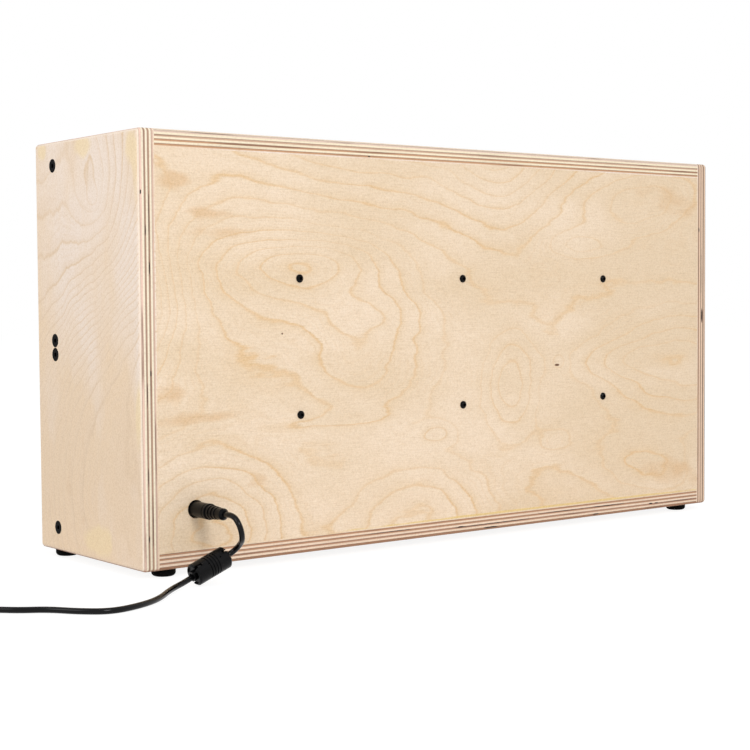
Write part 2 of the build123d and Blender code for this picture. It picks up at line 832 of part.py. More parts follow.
def adapter_inlet():
    cup = inlet_prism(0.0, inlet_depth + inlet_floor)
    return cup - inlet_prism(inlet_wall, inlet_depth)


def inlet_pins():
    floor = adapter_back_y + inlet_depth
    width, length, height = inlet_pin_size
    for x, z in ((-inlet_pin_spread, 0), (inlet_pin_spread, 0), (0, inlet_earth_rise)):
        px = adapter_centre[0] + x
        pz = inlet_z - 1.5 + z
        yield block(px - width / 2, px + width / 2, floor - length, floor, pz - height / 2, pz + height / 2)


def adapter_gland():
    """Tapered, ribbed strain relief between the adapter and its lead."""
    end = tail_route[-1][1] - adapter_front_y
    taper = (gland_neck_radius - gland_tip_radius) / (end - gland_collar)
    outline = [(0, -gland_seat), (gland_base_radius, -gland_seat), (gland_base_radius, gland_collar),
               (gland_neck_radius, gland_collar)]
    for number in range(gland_ribs):
        low = gland_collar + number * gland_rib_pitch + gland_rib_length
        high = gland_collar + (number + 1) * gland_rib_pitch
        radius = gland_neck_radius - taper * (low - gland_collar)
        outline += [(radius, low), (radius - gland_rib_depth, low + 0.2), (radius - gland_rib_depth, high - 0.2),
                    (radius - 0.1, high)]
    outline += [(gland_tip_radius, end), (0, end)]
    return turned(outline, (adapter_centre[0], adapter_front_y, adapter_axis_z), (0, 1, 0))


def adapter_led():
    x, y = adapter_centre
    top = adapter_size[2]
    return rod_z(top, top + 0.4, x, y + 40, led_radius)


# ---------------------------------------------------------------- all nodes
nodes = {
    "right_side_panel": side_panel(1),
    "left_side_panel": side_panel(-1),
    "top_panel": level_panel(inner_top, case_top),
    "bottom_panel": level_panel(case_bottom, inner_bottom),
    "back_panel": back_panel(),
    "corner_dowels": group(dowel(*place) for place in corner_dowel_places()),
    "back_dowels": group(dowel(*place) for place in back_dowel_places()),
    "rubber_feet": group(rubber_foot(x, y) for x, y in foot_places()),
    "foot_washers": group(foot_washer(x, y) for x, y in foot_places()),
    "foot_screws": group(foot_screw(x, y) for x, y in foot_places()),
    "right_rail_screws": group(rail_screw(1, z) for _, z, _ in rail_axes()),
    "left_rail_screws": group(rail_screw(-1, z) for _, z, _ in rail_axes()),
    "power_board": power_board(),
    "board_standoffs": group(standoff(x, z) for x, z in board_screw_places()),
    "back_screws": group(back_screw(x, z) for x, z in board_screw_places()),
    "board_screws": group(front_screw(x, z) for x, z in board_screw_places()),
    "bus_headers": group(bus_header(x, z) for x, z in header_places()),
    "header_pins": group(pin for x, z in header_places() for pin in header_pins(x, z)),
    "power_converters": group(on_board(x, 0, converter_size) for x in converter_x),
    "filter_capacitors": group(capacitor(z) for z in capacitor_z),
    "input_terminal": input_terminal(),
    "fuse_clips": group(fuse_holder()),
    "glass_fuse": glass_fuse(),
    "status_leds": group(on_board(fuse_x, z, led_size) for z in led_z),
    "jack_plate": jack_plate(),
    "jack_plate_screws": group(plate_screw(side) for side in (1, -1)),
    "jack_body": jack_body(),
    "jack_nut": jack_nut(),
    "jack_pin": jack_pin(),
    "jack_tabs": group(jack_tabs()),
    "plug_body": plug_body(),
    "plug_barrel": plug_barrel(),
    "plug_insulator": plug_insulator(),
    "ferrite_upper_shell": ferrite_shell(1),
    "ferrite_lower_shell": ferrite_shell(-1),
    "ferrite_core": ferrite_core(),
    "power_cable": tube(lead_route, "power_cable"),
    "cable_coil": cable_coil(),
    "coil_tie": coil_tie(),
    "cable_tail": tube(tail_route, "cable_tail"),
    "adapter_lower_shell": adapter_shell(0, adapter_lower_height),
    "adapter_upper_shell": adapter_shell(adapter_lower_height, adapter_size[2]),
    "adapter_inlet": adapter_inlet(),
    "inlet_pins": group(inlet_pins()),
    "adapter_gland": adapter_gland(),
    "adapter_led": adapter_led(),
}
for name, z, way in rail_axes():
    nodes[f"{name}_rail"] = rail(z, way)
    nodes[f"{name}_strip"] = thread_strip(z, way)

os.makedirs("parts", exist_ok=True)
for name, shape in nodes.items():
    export_step(shape, f"parts/{name}.step")
print(len(nodes), "nodes")
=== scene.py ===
import math

import bmesh
import bpy
from mathutils import Matrix, Vector


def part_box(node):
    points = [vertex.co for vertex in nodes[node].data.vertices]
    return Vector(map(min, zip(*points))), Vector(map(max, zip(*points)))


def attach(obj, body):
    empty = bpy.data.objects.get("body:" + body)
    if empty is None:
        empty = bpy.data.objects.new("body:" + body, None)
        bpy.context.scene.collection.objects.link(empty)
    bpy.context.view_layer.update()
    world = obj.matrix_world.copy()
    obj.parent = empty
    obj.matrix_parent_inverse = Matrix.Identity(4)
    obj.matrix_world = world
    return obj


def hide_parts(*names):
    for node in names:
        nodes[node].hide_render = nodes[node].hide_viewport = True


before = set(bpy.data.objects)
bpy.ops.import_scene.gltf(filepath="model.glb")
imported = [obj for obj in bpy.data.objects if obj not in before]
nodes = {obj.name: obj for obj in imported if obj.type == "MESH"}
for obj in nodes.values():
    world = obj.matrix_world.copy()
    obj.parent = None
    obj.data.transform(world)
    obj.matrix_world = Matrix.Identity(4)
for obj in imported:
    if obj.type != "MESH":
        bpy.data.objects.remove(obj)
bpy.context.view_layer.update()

MM = 0.001


# ---------------------------------------------------------------------------
# The camera, a little higher than the case's middle, off its rear right corner
# ---------------------------------------------------------------------------

CAMERA_PLACE = Vector((796.52, 996.43, 185.90)) * MM
CAMERA_HEADING = 217.713            # degrees from +Y towards +X
CAMERA_DIP = 2.824                  # degrees below the horizontal
CAMERA_ROLL = -0.395                # degrees round its own line of sight
CAMERA_LENS = 77.32
CAMERA_SENSOR = 36.0


def add_camera():
    """The camera, placed by a point and three angles, as fitted to the photograph."""
    data = bpy.data.cameras.new("camera")
    data.lens = CAMERA_LENS
    data.sensor_width = CAMERA_SENSOR
    data.clip_start = 0.01
    data.clip_end = 50
    camera = bpy.data.objects.new("camera", data)
    bpy.context.scene.collection.objects.link(camera)
    turn = Matrix.Rotation(-math.radians(CAMERA_HEADING), 4, "Z")
    turn = turn @ Matrix.Rotation(math.radians(90 - CAMERA_DIP), 4, "X")
    turn = turn @ Matrix.Rotation(math.radians(CAMERA_ROLL), 4, "Z")
    camera.matrix_world = Matrix.Translation(CAMERA_PLACE) @ turn
    bpy.context.scene.camera = camera


add_camera()


# ---------------------------------------------------------------------------
# The lead's cable: out of the plug, round a short loop, through the ferrite,
# along the floor, into a coil and on to the adapter
# ---------------------------------------------------------------------------

CABLE_RADIUS = 1.9 * MM

LEAD_ROUTE = [                      # millimetres, from the plug's tail to the coil
    (236.14, 111.0, 44.07),
    (236.1, 120.6, 45.2),
    (235.6, 128.0, 38.6),
    (232.2, 125.8, 29.8),
    (228.0, 116.4, 24.4),
    (230.9, 110.6, 18.4),
    (240.9, 111.14, 14.67),
    (254.2, 111.77, 9.68),
    (267.8, 112.7, 3.7),
    (284.0, 121.5, 1.9),
    (305.0, 144.0, 1.9),
    (325.5, 155.5, 1.9),
    (346.5, 160.0, 1.9),
    (361.0, 148.0, 1.9),
    (372.5, 130.5, 1.9),
    (386.5, 122.0, 1.9),
    (396.0, 112.0, 1.9),
    (410.0, 98.0, 1.9),
    (423.0, 84.0, 1.9),
    (431.8, 66.0, 2.3),
    (431.8, 50.0, 2.7),
]
TAIL_ROUTE = [                      # millimetres, from the coil to the adapter's gland
    (434.6, 36.0, 6.5),
    (431.0, 22.0, 8.6),
    (424.0, 9.0, 12.0),
    (424.0, -3.0, 12.0),
]

COIL_CENTRE = (405.0, 50.0)
COIL_OUTER = 26.8                   # radius of the outermost turn's centreline
TURN_STEP = 3.8                     # from one turn to the next, beside it or on it
COIL_FLOOR = 2.7                    # height of the lower layer's centreline
POINTS_A_TURN = 24
SHIFT_DEGREES = 45.0                # how far round a turn takes to move over or up


def eased(angle, start):
    """0 before start, 1 a shift later, and a smooth step between, in degrees."""
    part = min(max((angle - start) / SHIFT_DEGREES, 0.0), 1.0)
    return part * part * (3 - 2 * part)


def coil_points():
    """Six turns: three inward on the floor, then three outward on top of them."""
    inward = (315.0, 675.0)                       # the lower layer moves in, twice
    rise = 1020.0                                 # the third turn climbs
    outward = (1335.0, 1695.0, 2055.0)            # the upper layer moves out
    points = []
    swell = 1 / math.cos(math.pi / POINTS_A_TURN)
    for step in range(1, 6 * POINTS_A_TURN + 1):
        angle = 360.0 * step / POINTS_A_TURN
        turns_in = sum(eased(angle, start) for start in inward)
        turns_out = sum(eased(angle, start) for start in outward)
        radius = (COIL_OUTER - TURN_STEP * (turns_in - turns_out)) * swell
        height = COIL_FLOOR + TURN_STEP * eased(angle, rise)
        turn = math.radians(-angle)
        x = COIL_CENTRE[0] + radius * math.cos(turn)
        y = COIL_CENTRE[1] + radius * math.sin(turn)
        points.append((x, y, height))
    return points


def add_cable():
    """The whole cable as one smooth spline with a round section."""
    points = LEAD_ROUTE + coil_points() + TAIL_ROUTE
    curve = bpy.data.curves.new("lead_cable", "CURVE")
    curve.dimensions = "3D"
    spline = curve.splines.new("NURBS")
    spline.points.add(len(points) - 1)
    # The radius stands on the points, over a bevel of 1, so that the curve's box is the cable's.
    for point, (x, y, z) in zip(spline.points, points):
        point.co = (x * MM, y * MM, z * MM, 1.0)
        point.radius = CABLE_RADIUS
    spline.order_u = 3
    spline.use_endpoint_u = True
    spline.resolution_u = 8
    curve.bevel_depth = 1.0
    curve.bevel_resolution = 6
    curve.use_fill_caps = True
    cable = bpy.data.objects.new("lead_cable", curve)
    bpy.context.scene.collection.objects.link(cable)
    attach(cable, "power_lead")
    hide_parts("power_cable", "cable_coil", "cable_tail")
    return cable


cable = add_cable()


# ---------------------------------------------------------------------------
# Building node materials
# ---------------------------------------------------------------------------

def linear(colour):
    """A colour given as 0-255 screen values, as the shader's linear ones."""
    parts = []
    for value in colour:
        part = value / 255
        parts.append(part / 12.92 if part <= 0.04045 else ((part + 0.055) / 1.055) ** 2.4)
    return (*parts, 1.0)


class Graph:
    """One procedural material, built node by node from object coordinates."""

    def __init__(self, name, roughness=0.5, metallic=0.0, ior=1.45):
        self.material = bpy.data.materials.new(name)
        self.material.use_nodes = True
        self.tree = self.material.node_tree
        self.shader = self.tree.nodes["Principled BSDF"]
        self.shader.inputs["Roughness"].default_value = roughness
        self.shader.inputs["Metallic"].default_value = metallic
        self.shader.inputs["IOR"].default_value = ior
        self.point = self.tree.nodes.new("ShaderNodeTexCoord").outputs["Object"]

    def put(self, socket, value):
        """Links value to the socket if it comes from a node, and else sets it."""
        if isinstance(value, bpy.types.NodeSocket):
            self.tree.links.new(value, socket)
        else:
            socket.default_value = value

    def math(self, operation, first, second=0.0, third=0.0):
        node = self.tree.nodes.new("ShaderNodeMath")
        node.operation = operation
        for socket, value in zip(node.inputs, (first, second, third)):
            self.put(socket, value)
        return node.outputs[0]

    def vector(self, operation, first, second):
        node = self.tree.nodes.new("ShaderNodeVectorMath")
        node.operation = operation
        self.put(node.inputs[0], first)
        self.put(node.inputs[1], second)
        return node.outputs["Value" if operation == "DOT_PRODUCT" else "Vector"]

    def split(self, vector):
        node = self.tree.nodes.new("ShaderNodeSeparateXYZ")
        self.put(node.inputs[0], vector)
        return node.outputs

    def join(self, x, y, z):
        node = self.tree.nodes.new("ShaderNodeCombineXYZ")
        for socket, value in zip(node.inputs, (x, y, z)):
            self.put(socket, value)
        return node.outputs[0]

    def noise(self, vector, scales, detail=2.0, roughness=0.5, colour=False):
        """Noise with features about 1/scale metres long on each axis."""
        node = self.tree.nodes.new("ShaderNodeTexNoise")
        self.put(node.inputs["Vector"], self.vector("MULTIPLY", vector, scales))
        node.inputs["Scale"].default_value = 1.0
        node.inputs["Detail"].default_value = detail
        node.inputs["Roughness"].default_value = roughness
        return node.outputs["Color" if colour else "Fac"]

    def ramp(self, value, stops):
        """stops are (position, colour or grey level)."""
        node = self.tree.nodes.new("ShaderNodeValToRGB")
        elements = node.color_ramp.elements
        while len(elements) < len(stops):
            elements.new(1.0)
        for element, (position, colour) in zip(elements, stops):
            element.position = position
            if not hasattr(colour, "__len__"):
                colour = (colour, colour, colour, 1.0)
            element.color = colour
        self.put(node.inputs[0], value)
        return node.outputs["Color"]

    def mix(self, factor, first, second, blend="MIX"):
        node = self.tree.nodes.new("ShaderNodeMix")
        node.data_type = "RGBA"
        node.blend_type = blend
        self.put(node.inputs[0], factor)
        self.put(node.inputs[6], first)
        self.put(node.inputs[7], second)
        return node.outputs[2]

    def bump(self, height, strength, distance):
        node = self.tree.nodes.new("ShaderNodeBump")
        node.inputs["Strength"].default_value = strength
        node.inputs["Distance"].default_value = distance
        self.put(node.inputs["Height"], height)
        self.put(self.shader.inputs["Normal"], node.outputs[0])

    def colour(self, value):
        self.put(self.shader.inputs["Base Color"], value)

    def roughness(self, value):
        self.put(self.shader.inputs["Roughness"], value)


def finish_nodes(material, *names):
    """Gives the material to CAD nodes, in place of what they were packed with."""
    for name in names:
        mesh = nodes[name].data
        mesh.materials.clear()
        mesh.materials.append(material)


# ---------------------------------------------------------------------------
# Birch plywood
# ---------------------------------------------------------------------------

PLY_COUNT = 9
BOARD = 12.0                        # board thickness, millimetres
FACE_PLY = 0.925
CORE_PLY = (BOARD - 2 * FACE_PLY) / (PLY_COUNT - 2)

bottom_low, bottom_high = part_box("bottom_panel")
CASE_FLOOR = bottom_low.z / MM      # height of the case's underside

TAN = (229, 194, 152)
MINERAL = (247, 223, 181)
GLUE = (238, 208, 138)
PORE = (205, 160, 116)
KNOT = (112, 76, 50)
SCORCH = (118, 88, 70)
# Near black for open places in the plies: painted shade inside them.
VOID_SHADE = (40, 30, 26)
# Dark brown for the boards' underside roundings: painted shade under the case.
UNDERSIDE_SHADE = (150, 100, 70)
WHITE = (1.0, 1.0, 1.0, 1.0)

# Factors on a colour, where a fine noise is at its lowest and at its highest.
FIBRE_DARK, FIBRE_PALE = (0.88, 0.84, 0.78, 1.0), (1.05, 1.07, 1.11, 1.0)
SPECK_DARK, SPECK_PALE = (0.89, 0.85, 0.78, 1.0), (1.07, 1.10, 1.16, 1.0)
GRIT_DARK, GRIT_PALE = (0.86, 0.85, 0.82, 1.0), (1.12, 1.13, 1.15, 1.0)
EDGE_SPECK_DARK = (0.88, 0.86, 0.84, 1.0)
STREAK_DARK = (0.72, 0.68, 0.64, 1.0)

# Noises on a face, in features a metre: along the grain and across it.
DRIFT_SCALE = (7.0, 13.0, 1.0)
WOBBLE_SCALE = (26.0, 70.0, 1.0)
FUZZ_SCALE = (90.0, 1100.0, 1.0)
PATCHY_SCALE = (9.0, 16.0, 1.0)
AREA_SCALE = (11.0, 20.0, 1.0)
BROAD_SCALE = (9.0, 22.0, 1.0)
RAGGED_SCALE = (45.0, 90.0, 1.0)
FIBRE_SCALE = (75.0, 1300.0, 1.0)
PORE_SCALE = (210.0, 2300.0, 1.0)

# Noises in the solid, in features a metre: along the grain, across it and into the board.
SPECK_SCALE = (820.0, 820.0, 820.0)
GRIT_SCALE = (1700.0, 1700.0, 1700.0)
EDGE_SPECK_SCALE = (900.0, 900.0, 900.0)
STREAK_SCALE = (14.0, 14.0, 900.0)
SCORCH_SCALE = (16.0, 16.0, 520.0)
VOID_SCALE = (260.0, 260.0, 900.0)
RIPPLE_SCALE = (12.0, 12.0, 300.0)


def hills(graph, place, bumps):
    """Sum of smooth hills, each (u, v, radius_u, radius_v, degrees, height, edge).

    Places and radii are in millimetres. An edge of 1 rounds the hill evenly, and a larger
    one gives it a flat top and a steep side.
    """
    total = None
    for u, v, radius_u, radius_v, degrees, height, edge in bumps:
        mapping = graph.tree.nodes.new("ShaderNodeMapping")
        mapping.vector_type = "TEXTURE"
        mapping.inputs["Location"].default_value = (u * MM, v * MM, 0.0)
        mapping.inputs["Rotation"].default_value = (0.0, 0.0, math.radians(degrees))
        mapping.inputs["Scale"].default_value = (radius_u * MM, radius_v * MM, 1.0)
        graph.put(mapping.inputs["Vector"], place)
        away = graph.vector("DOT_PRODUCT", mapping.outputs[0], mapping.outputs[0])
        if edge != 1:
            away = graph.math("POWER", away, edge)
        hill = graph.math("EXPONENT", graph.math("MULTIPLY", away, -1.0))
        total = graph.math("MULTIPLY_ADD", hill, height, 0.0 if total is None else total)
    return total


def growth_rings(graph, flat, figure, seed):
    """How strongly growth shows at each point: the shade up to a line, the line, and fine lines."""
    drift = graph.noise(graph.vector("ADD", flat, (seed, 0.0, seed)), DRIFT_SCALE, 2.0, colour=True)
    drift = graph.vector("SUBTRACT", drift, (0.5, 0.5, 0.5))
    place = graph.vector("ADD", flat, graph.vector("MULTIPLY", drift, (0.030, 0.014, 0.0)))
    level = hills(graph, place, figure["rings"])
    level = graph.math("ADD", level, graph.vector("DOT_PRODUCT", place, (*figure["slope"], 0.0)))
    wobble = graph.noise(graph.vector("ADD", flat, (seed, seed, 3.0)), WOBBLE_SCALE, 2.5, 0.5)
    level = graph.math("MULTIPLY_ADD", wobble, figure["wobble"], level)
    fuzz = graph.noise(flat, FUZZ_SCALE, 2.0)
    level = graph.math("MULTIPLY_ADD", fuzz, 0.12, level)

    ring = graph.math("FLOOR", level)
    part = graph.math("SUBTRACT", level, ring)
    chance = graph.tree.nodes.new("ShaderNodeTexWhiteNoise")
    chance.noise_dimensions = "1D"
    graph.put(chance.inputs["W"], graph.math("ADD", ring, seed))
    patchy = graph.noise(graph.vector("ADD", flat, (0.0, seed, 7.0)), PATCHY_SCALE, 2.0)
    patchy = graph.ramp(patchy, [(0.34, 0.40), (0.58, 1.0)])
    strength = graph.math("MULTIPLY_ADD", chance.outputs["Value"], 0.55, 0.45)
    strength = graph.math("MULTIPLY", strength, patchy)
    if figure["faint"]:
        faint = graph.math("MINIMUM", hills(graph, flat, figure["faint"]), 1.0)
        strength = graph.math("MULTIPLY", strength, graph.math("SUBTRACT", 1.0, faint))
    shade = graph.ramp(part, [
        (0.0, 0.0), (0.26, 0.30), (0.44, 0.85), (0.50, 1.0), (0.56, 0.30), (0.64, 0.0),
    ])
    line = graph.ramp(part, [(0.41, 0.0), (0.475, 1.0), (0.51, 1.0), (0.57, 0.0)])
    fine = graph.math("PINGPONG", graph.math("MULTIPLY", level, 8.0), 1.0)
    fine = graph.ramp(fine, [(0.0, 1.0), (0.45, 0.0)])
    area = graph.noise(graph.vector("ADD", flat, (seed, 3.0, seed)), AREA_SCALE, 2.0)
    fine = graph.math("MULTIPLY", fine, graph.ramp(area, [(0.46, 0.0), (0.62, 1.0)]))
    return graph.math("MULTIPLY", shade, strength), graph.math("MULTIPLY", line, strength), fine


def birch_face(graph, flat, figure, seed):
    """Colour and height of a rotary-cut birch veneer: growth rings, stains, fibres and pores."""
    cream, warm, dusk, ring = (linear(tone) for tone in figure["tones"])
    shade, line, fine = growth_rings(graph, flat, figure, seed)
    broad = graph.noise(graph.vector("ADD", flat, (seed, 1.0, 1.0)), BROAD_SCALE, 4.0)
    if figure["warm"]:
        broad = graph.math("ADD", broad, hills(graph, flat, figure["warm"]))
    colour = graph.mix(graph.ramp(broad, [(0.36, 0.0), (0.66, 1.0)]), cream, warm)
    colour = graph.mix(graph.math("MULTIPLY", fine, 0.40), colour, dusk)
    colour = graph.mix(graph.math("MULTIPLY", shade, 0.90), colour, dusk)
    colour = graph.mix(graph.math("MULTIPLY", line, 0.75), colour, ring)

    ragged = graph.noise(graph.vector("ADD", flat, (4.0, seed, 1.0)), RAGGED_SCALE, 3.0)
    for stain, bumps in figure["stains"]:
        reach = graph.math("SUBTRACT", hills(graph, flat, bumps), 0.45)
        reach = graph.math("MULTIPLY_ADD", ragged, 0.9, reach)
        reach = graph.ramp(reach, [(0.40, 0.0), (0.75, 0.8)])
        colour = graph.mix(reach, colour, linear(stain))

    fibre = graph.noise(flat, FIBRE_SCALE, 3.0, 0.65)
    tone = graph.ramp(fibre, [(0.28, FIBRE_DARK), (0.50, WHITE), (0.74, FIBRE_PALE)])
    colour = graph.mix(figure["fibres"], colour, tone, "MULTIPLY")
    speck = graph.noise(graph.point, SPECK_SCALE, 2.0)
    tone = graph.ramp(speck, [(0.25, SPECK_DARK), (0.50, WHITE), (0.75, SPECK_PALE)])
    colour = graph.mix(figure["speckle"], colour, tone, "MULTIPLY")
    grit = graph.noise(graph.point, GRIT_SCALE, 1.0)
    tone = graph.ramp(grit, [(0.25, GRIT_DARK), (0.50, WHITE), (0.75, GRIT_PALE)])
    colour = graph.mix(figure["grit"], colour, tone, "MULTIPLY")
    pore = graph.noise(graph.vector("ADD", flat, (seed, 5.0, 2.0)), PORE_SCALE, 1.0)
    pore = graph.ramp(pore, [(0.68, 0.0), (0.80, 1.0)])
    colour = graph.mix(graph.math("MULTIPLY", pore, 0.5), colour, linear(PORE))
    if figure["knots"]:
        knot = graph.math("MULTIPLY_ADD", ragged, 0.3, hills(graph, flat, figure["knots"]))
        colour = graph.mix(graph.ramp(knot, [(0.50, 0.0), (0.85, 1.0)]), colour, linear(KNOT))
    return colour, fibre


def ply_edges(graph, depth, edge):
    """Colour across the board's thickness: each dark ply has its own tone, and a darker glue side."""
    light = linear(edge["light"])
    stops = [(0.0, light)]
    start = FACE_PLY
    for tone in edge["darks"]:
        end = start + CORE_PLY
        rim = linear([part * edge["rim"] for part in tone])
        tone = linear(tone)
        if edge["rim_side"] == "inner":
            stops += [(start - 0.1, light), (start + 0.1, rim), (start + 0.55, tone), (end - 0.1, tone)]
            stops += [(end + 0.1, light)]
        else:
            stops += [(start - 0.1, light), (start + 0.1, tone), (end - 0.55, tone), (end - 0.1, rim)]
            stops += [(end + 0.1, light)]
        start += 2 * CORE_PLY
    stops += [(BOARD - 0.5, linear(edge["outer"]))]
    stops = [(place / BOARD, colour) for place, colour in stops]
    return graph.ramp(graph.math("DIVIDE", depth, BOARD), stops)


def edge_flaws(graph, edges, along, across, depth, edge, seed):
    """The plies' speckle and streaks, and the scorched and open places along the dark ones; the open places
    are painted near black, as painted shade.
    """
    speck = graph.noise(graph.point, EDGE_SPECK_SCALE, 2.0)
    tone = graph.ramp(speck, [(0.30, EDGE_SPECK_DARK), (0.55, WHITE)])
    edges = graph.mix(0.7, edges, tone, "MULTIPLY")
    solid = graph.join(along, across, graph.math("MULTIPLY", depth, MM))
    streak = graph.noise(graph.vector("ADD", solid, (2.0, 1.0, seed)), STREAK_SCALE, 2.0)
    tone = graph.ramp(streak, [(0.28, STREAK_DARK), (0.48, WHITE)])
    edges = graph.mix(0.6, edges, tone, "MULTIPLY")

    in_dark = graph.math("PINGPONG", graph.math("ADD", depth, CORE_PLY / 2 - FACE_PLY), CORE_PLY)
    in_dark = graph.ramp(graph.math("DIVIDE", in_dark, CORE_PLY), [(0.50, 0.0), (0.65, 1.0)])
    scorch = graph.noise(graph.vector("ADD", solid, (seed, 2.0, seed)), SCORCH_SCALE, 2.0)
    scorch = graph.math("MULTIPLY", graph.ramp(scorch, [(0.57, 0.0), (0.68, 0.65)]), in_dark)
    edges = graph.mix(scorch, edges, linear(SCORCH))
    if edge["voids"]:
        bumps = [(at, deep, length, height, 0.0, 1.2, 1) for at, deep, length, height in edge["voids"]]
        ragged = graph.noise(solid, VOID_SCALE, 2.0)
        gap = hills(graph, graph.join(along, graph.math("MULTIPLY", depth, MM), 0.0), bumps)
        gap = graph.math("MULTIPLY_ADD", ragged, 0.8, graph.math("SUBTRACT", gap, 0.40))
        # Painted shade: the open places are coloured near black for the shade inside them.
        edges = graph.mix(graph.ramp(gap, [(0.42, 0.0), (0.62, 1.0)]), edges, linear(VOID_SHADE))
    return edges, speck


def plywood(name, thickness_axis, inner_face, outward, grain_axis, figure, edge, seed):
    """A birch board. inner_face is where its inner face lies on the thickness axis, in millimetres."""
    graph = Graph(name, roughness=0.55)
    axes = dict(zip("xyz", graph.split(graph.point)))
    cross_axis = next(axis for axis in "xyz" if axis not in (thickness_axis, grain_axis))
    along, across = axes[grain_axis], axes[cross_axis]
    flat = graph.join(along, across, 0.0)
    face, fibre = birch_face(graph, flat, figure, seed)

    depth = graph.math("MULTIPLY_ADD", axes[thickness_axis], outward / MM, -inner_face * outward)
    solid = graph.join(along, across, axes[thickness_axis])
    ripple = graph.noise(graph.vector("ADD", solid, (seed, seed, 0.0)), RIPPLE_SCALE, 2.0)
    rippled = graph.math("MULTIPLY_ADD", ripple, 0.36, graph.math("ADD", depth, -0.18))
    edges = ply_edges(graph, rippled, edge)
    edges, speck = edge_flaws(graph, edges, along, across, depth, edge, seed)

    core = graph.ramp(graph.math("DIVIDE", depth, BOARD), [
        (0.0, 0.0), (0.90 * FACE_PLY / BOARD, 0.0), (1.05 * FACE_PLY / BOARD, 1.0),
        (1 - 0.45 / BOARD, 1.0), (1 - 0.15 / BOARD, 0.0),
    ])
    colour = graph.mix(core, face, edges)
    # Painted shade: the lowest few millimetres of every board, its underside rounding, turn dark brown.
    underside = graph.math("DIVIDE", graph.math("SUBTRACT", axes["z"], CASE_FLOOR * MM), 4 * MM)
    underside_shade = graph.ramp(underside, [(0.01, 0.0), (0.03, 0.8), (0.20, 0.7), (0.45, 0.0)])
    graph.colour(graph.mix(underside_shade, colour, linear(UNDERSIDE_SHADE)))
    rough = graph.math("MULTIPLY_ADD", fibre, 0.18, 0.44)
    graph.roughness(graph.math("MULTIPLY_ADD", core, 0.15, rough))
    graph.bump(graph.math("ADD", fibre, graph.math("MULTIPLY", speck, core)), 0.22, 0.00025)
    return graph.material


# Each veneer's tones: its cream and its warmer patches, the shade before a growth line, and the line.
WARM_BIRCH = [(246, 224, 198), (237, 213, 182), (236, 208, 172), (234, 198, 150)]
PINK_BIRCH = [(247, 229, 213), (243, 217, 186), (238, 214, 189), (231, 202, 166)]

# Each face's figure, as hills in millimetres along and across the grain. Rings are counted from
# a hill's foot to its top, so a hill of 4 shows four lines round it. slope adds lines a metre on
# each axis, and wobble bends them all. faint hills hide the lines, and warm ones shift the face
# between its cream and its warm tone. fibres, speckle and grit are the shares of the fine noises.
# Each stain is a colour and its hills, and knots are dark hills.
BACK_FIGURE = {
    "tones": WARM_BIRCH,
    # Both warm hills are painted light and shade: the first pales the lower middle, the second darkens the
    # -X end where the lamps' light falls off.
    "warm": [(80.0, 60.0, 120.0, 50.0, 0.0, -0.16, 1), (-220.0, 150.0, 110.0, 200.0, 0.0, 0.22, 1)],
    "fibres": 0.65,
    "speckle": 0.6,
    "grit": 0.5,
    "slope": (3.0, 0.0),
    "wobble": 0.85,
    "faint": [(-50.0, 116.0, 60.0, 50.0, 0.0, 0.45, 1), (30.0, 130.0, 30.0, 60.0, 0.0, 0.3, 1)],
    "rings": [
        (150.0, 203.0, 88.0, 36.0, 0.0, 4.0, 1),          # the long nested lobes
        (92.0, 142.0, 66.0, 44.0, 0.0, 3.4, 1),
        (150.0, 207.0, 60.0, 14.0, 0.0, 1.5, 1),
        (76.0, 172.0, 50.0, 12.0, 0.0, 1.0, 1),
        (196.0, 142.0, 34.0, 44.0, 0.0, 0.9, 1),
        (284.0, 190.0, 34.0, 60.0, 0.0, -6.5, 1),         # lines gathered at the jack side's edge
        (262.0, 262.0, 40.0, 24.0, 0.0, -1.5, 1),
        (80.0, 340.0, 210.0, 72.0, 4.0, -7.5, 1),         # the fall towards the top edge
        (-40.0, 312.0, 44.0, 66.0, 0.0, -3.5, 1),
        (-190.0, 262.0, 70.0, 26.0, -8.0, 3.0, 1),
        (-126.0, 226.0, 34.0, 9.0, 0.0, 1.8, 1),          # the small flat eye
        (-50.0, 116.0, 26.0, 38.0, 0.0, 3.6, 1),          # the upright eye
        (-98.0, 130.0, 8.0, 6.0, 0.0, -1.5, 1),           # round the pin knot
        (-255.0, 124.0, 105.0, 52.0, 0.0, 5.4, 1),        # arrowheads that point at the knot
        (-170.0, 130.0, 62.0, 13.0, 0.0, 1.6, 1),
        (224.0, 28.0, 62.0, 46.0, 0.0, 5.6, 1),           # arches over the jack
        (46.0, 16.0, 68.0, 48.0, 0.0, 4.2, 1),
        (128.0, 98.0, 58.0, 6.0, -3.0, 1.0, 1),
        (22.0, 84.0, 18.0, 8.0, 0.0, 1.6, 1),
        (-95.0, 70.0, 24.0, 14.0, 0.0, 1.4, 1),
        (-205.0, 40.0, 66.0, 24.0, 12.0, 2.6, 1),
    ],
    "stains": [
        (TAN, [
            (250.0, 264.0, 16.0, 10.0, 0.0, 0.8, 1),
            (226.0, 242.0, 30.0, 5.0, 0.0, 0.7, 1),
            (214.0, 229.0, 34.0, 6.0, 0.0, 0.7, 1),
            (256.0, 120.0, 26.0, 12.0, 0.0, 0.7, 1),
            (232.0, 104.0, 44.0, 5.0, -4.0, 0.6, 1),
            (186.0, 60.0, 14.0, 10.0, 0.0, 0.55, 1),
            (-232.0, 262.0, 60.0, 20.0, 10.0, 0.6, 1),
            (-236.0, 36.0, 60.0, 15.0, 12.0, 0.7, 1),
        ]),
        (GLUE, [(-92.0, 17.4, 190.0, 1.5, 0.0, 1.5, 1)]),
    ],
    "knots": [(-98.5, 130.0, 2.6, 0.9, 0.0, 1.3, 1), (165.0, 160.0, 0.7, 0.7, 0.0, 1.3, 1)],
}
